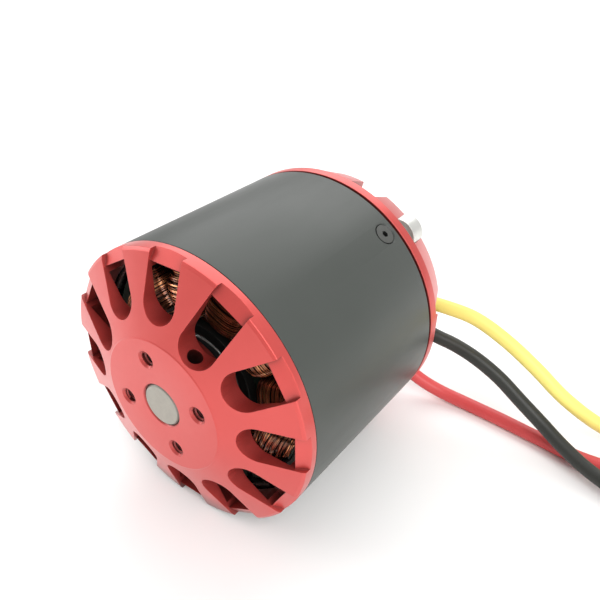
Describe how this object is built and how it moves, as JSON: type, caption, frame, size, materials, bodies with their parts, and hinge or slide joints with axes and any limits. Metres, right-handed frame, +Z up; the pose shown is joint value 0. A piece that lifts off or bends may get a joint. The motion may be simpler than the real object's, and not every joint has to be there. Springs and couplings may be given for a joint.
{
  "type": "brushless outrunner motor",
  "caption": "Cylindrical outrunner motor: slotted red end bells on a black rotating can, arms to bolt it down by, and flexible phase leads ending in bullet plugs.",
  "frame": {"origin": "centre of the four-hole mounting pattern, on the rear mounting face and on the shaft axis", "axes": "+Y along the shaft axis out of the mounting face, so the front bell faces -Y; +Z up, square to the table the motor lies on; +X to the side where the leads leave"},
  "size_m": [0.205, 0.1235, 0.08],
  "materials": {
    "red_anodised": "satin anodised",
    "black_can": "satin black",
    "magnet_nickel": "nickel plated",
    "black_screw": "black oxide",
    "shaft_steel": "ground steel",
    "bearing_steel": "polished steel",
    "bare_aluminium": "turned, bare",
    "lamination_steel": "stacked laminations",
    "green_insulator": "moulded",
    "enamelled_copper": "enamelled wire",
    "black_sleeve": "heat-shrink tube",
    "yellow_silicone": "silicone",
    "black_silicone": "silicone",
    "red_silicone": "silicone",
    "gold_plate": "gold plated"
  },
  "bodies": {
    "stator": {"outer_races": "bearing_steel", "skirt_inner_race": "bearing_steel", "stator_mount": "bare_aluminium", "stator_core": "lamination_steel", "front_insulator": "green_insulator", "rear_insulator": "green_insulator", "phase_a_coils": "enamelled_copper", "phase_b_coils": "enamelled_copper", "phase_c_coils": "enamelled_copper", "lead_sleeves": "black_sleeve", "lead_yellow": "yellow_silicone", "lead_black": "black_silicone", "lead_red": "red_silicone", "shrink_yellow": "black_sleeve", "shrink_black": "black_sleeve", "shrink_red": "black_sleeve", "bullet_yellow": "gold_plate", "bullet_black": "gold_plate", "bullet_red": "gold_plate"},
    "rotor": {"front_bell": "red_anodised", "flux_ring": "black_can", "magnets": "magnet_nickel", "rear_ring": "red_anodised", "ring_screws": "black_screw", "hub_grub_screws": "black_screw", "shaft": "shaft_steel", "shaft_spacer": "shaft_steel", "shim_washer": "shaft_steel", "circlip": "black_screw", "inner_races": "bearing_steel", "skirt_outer_race": "bearing_steel"},
    "bearing_balls": {"ball_sets": "bearing_steel"},
    "skirt_balls": {"skirt_ball_set": "bearing_steel"}
  },
  "joints": [
    {"name": "rotor_spin", "type": "hinge", "parent": "stator", "child": "rotor", "pos_m": [0, -0.046, 0], "axis": [0, 1, 0], "continuous": true},
    {"name": "bearing_ball_creep", "type": "hinge", "parent": "stator", "child": "bearing_balls", "pos_m": [0, -0.046, 0], "axis": [0, 1, 0], "continuous": true},
    {"name": "skirt_ball_creep", "type": "hinge", "parent": "stator", "child": "skirt_balls", "pos_m": [0, -0.0159, 0], "axis": [0, 1, 0], "continuous": true}
  ],
  "couplings": [
    {"joint": "bearing_ball_creep", "follows": "rotor_spin", "ratio": 0.39},
    {"joint": "skirt_ball_creep", "follows": "rotor_spin", "ratio": 0.5301}
  ]
}
